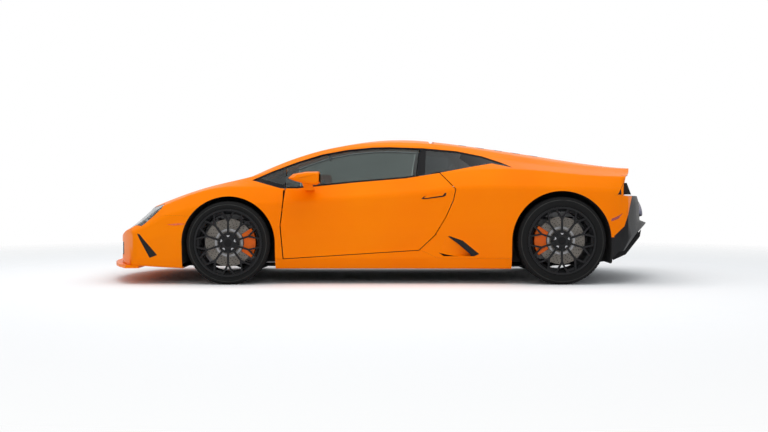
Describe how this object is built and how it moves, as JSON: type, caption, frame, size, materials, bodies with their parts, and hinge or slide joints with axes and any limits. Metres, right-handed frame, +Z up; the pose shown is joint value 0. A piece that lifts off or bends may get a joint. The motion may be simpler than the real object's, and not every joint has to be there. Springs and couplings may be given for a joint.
{
  "type": "supercar",
  "caption": "Low mid-engined two-seat coupe with opening doors, bonnet and engine cover, steered front wheels and spinning wheels.",
  "frame": {"origin": "on the ground under the middle of the car", "axes": "-X towards the nose, +X towards the tail, -Y to the driver side (left), +Z up"},
  "size_m": [4.52, 2.224, 1.17],
  "materials": {
    "alloy": "machined and cast alloy",
    "black_plastic": "satin black moulding",
    "caliper": "orange caliper paint",
    "carbon_tub": "carbon composite",
    "disc": "grey brake disc",
    "engine": "cast alloy",
    "exhaust": "heat-tinted steel",
    "glass": "tinted glass",
    "lamp": "clear lamp lens",
    "leather": "black leather",
    "paint": "gloss orange paint",
    "rim": "satin black wheel paint",
    "steel": "machined steel",
    "tail_lamp": "red lamp lens",
    "tyre": "tyre rubber"
  },
  "bodies": {
    "body": {"front_bumper": "paint", "front_splitter": "paint", "front_wings": "paint", "roof_panel": "paint", "windscreen": "glass", "quarter_windows": "glass", "quarter_panels": "paint", "side_sills": "paint", "floor_pan": "black_plastic", "rear_bumper": "paint", "rear_diffuser": "black_plastic", "headlamps": "lamp", "wheel_liners": "black_plastic", "cabin_tub": "carbon_tub", "dashboard": "leather", "centre_console": "black_plastic", "seats": "leather", "front_frame": "alloy", "luggage_tub": "black_plastic", "engine": "engine", "rear_frame": "alloy", "rear_window": "glass", "intake_ducts": "black_plastic", "rear_grille": "black_plastic", "exhausts": "exhaust", "tail_lamps": "tail_lamp", "wishbones": "alloy", "uprights": "alloy", "rear_calipers": "caliper", "hinge_brackets": "steel", "steering_column": "black_plastic"},
    "door_left": {"door_left": "paint", "door_glass_left": "glass", "mirror_left": "paint"},
    "door_right": {"door_right": "paint", "door_glass_right": "glass", "mirror_right": "paint"},
    "bonnet": {"bonnet": "paint"},
    "engine_cover": {"engine_cover": "paint"},
    "knuckle_fl": {"knuckle_fl": "alloy", "caliper_fl": "caliper"},
    "knuckle_fr": {"knuckle_fr": "alloy", "caliper_fr": "caliper"},
    "steering_wheel": {"steering_wheel": "leather"},
    "wheel_fl": {"tyre_fl": "tyre", "rim_fl": "rim", "disc_fl": "disc"},
    "wheel_fr": {"tyre_fr": "tyre", "rim_fr": "rim", "disc_fr": "disc"},
    "wheel_rl": {"tyre_rl": "tyre", "rim_rl": "rim", "disc_rl": "disc"},
    "wheel_rr": {"tyre_rr": "tyre", "rim_rr": "rim", "disc_rr": "disc"}
  },
  "joints": [
    {"name": "steer_fl", "type": "hinge", "parent": "body", "child": "knuckle_fl", "pos_m": [-1.215, -0.81, 0.3275], "axis": [0, 0, 1], "range_deg": [-30, 30]},
    {"name": "steer_fr", "type": "hinge", "parent": "body", "child": "knuckle_fr", "pos_m": [-1.215, 0.81, 0.3275], "axis": [0, 0, 1], "range_deg": [-30, 30]},
    {"name": "wheel_fl_spin", "type": "hinge", "parent": "knuckle_fl", "child": "wheel_fl", "pos_m": [-1.215, -0.834, 0.3275], "axis": [0, 1, 0], "continuous": true},
    {"name": "wheel_fr_spin", "type": "hinge", "parent": "knuckle_fr", "child": "wheel_fr", "pos_m": [-1.215, 0.834, 0.3275], "axis": [0, 1, 0], "continuous": true},
    {"name": "wheel_rl_spin", "type": "hinge", "parent": "body", "child": "wheel_rl", "pos_m": [1.405, -0.81, 0.3455], "axis": [0, 1, 0], "continuous": true},
    {"name": "wheel_rr_spin", "type": "hinge", "parent": "body", "child": "wheel_rr", "pos_m": [1.405, 0.81, 0.3455], "axis": [0, 1, 0], "continuous": true},
    {"name": "steering_wheel_turn", "type": "hinge", "parent": "body", "child": "steering_wheel", "pos_m": [-0.43, -0.37, 0.65], "axis": [0.9272, 0, 0.3746], "range_deg": [-390, 390]},
    {"name": "door_left_hinge", "type": "hinge", "parent": "body", "child": "door_left", "pos_m": [-0.845, -0.892, 0.56], "axis": [0, 0, -1], "range_deg": [0, 56]},
    {"name": "door_right_hinge", "type": "hinge", "parent": "body", "child": "door_right", "pos_m": [-0.845, 0.892, 0.56], "axis": [0, 0, 1], "range_deg": [0, 56]},
    {"name": "bonnet_hinge", "type": "hinge", "parent": "body", "child": "bonnet", "pos_m": [-1.066, 0, 0.826], "axis": [0, 1, 0], "range_deg": [0, 50]},
    {"name": "engine_cover_hinge", "type": "hinge", "parent": "body", "child": "engine_cover", "pos_m": [0.38, 0, 1.104], "axis": [0, -1, 0], "range_deg": [0, 45]}
  ],
  "couplings": [
    {"joint": "steer_fr", "follows": "steer_fl", "ratio": 1},
    {"joint": "steering_wheel_turn", "follows": "steer_fl", "ratio": 13}
  ]
}
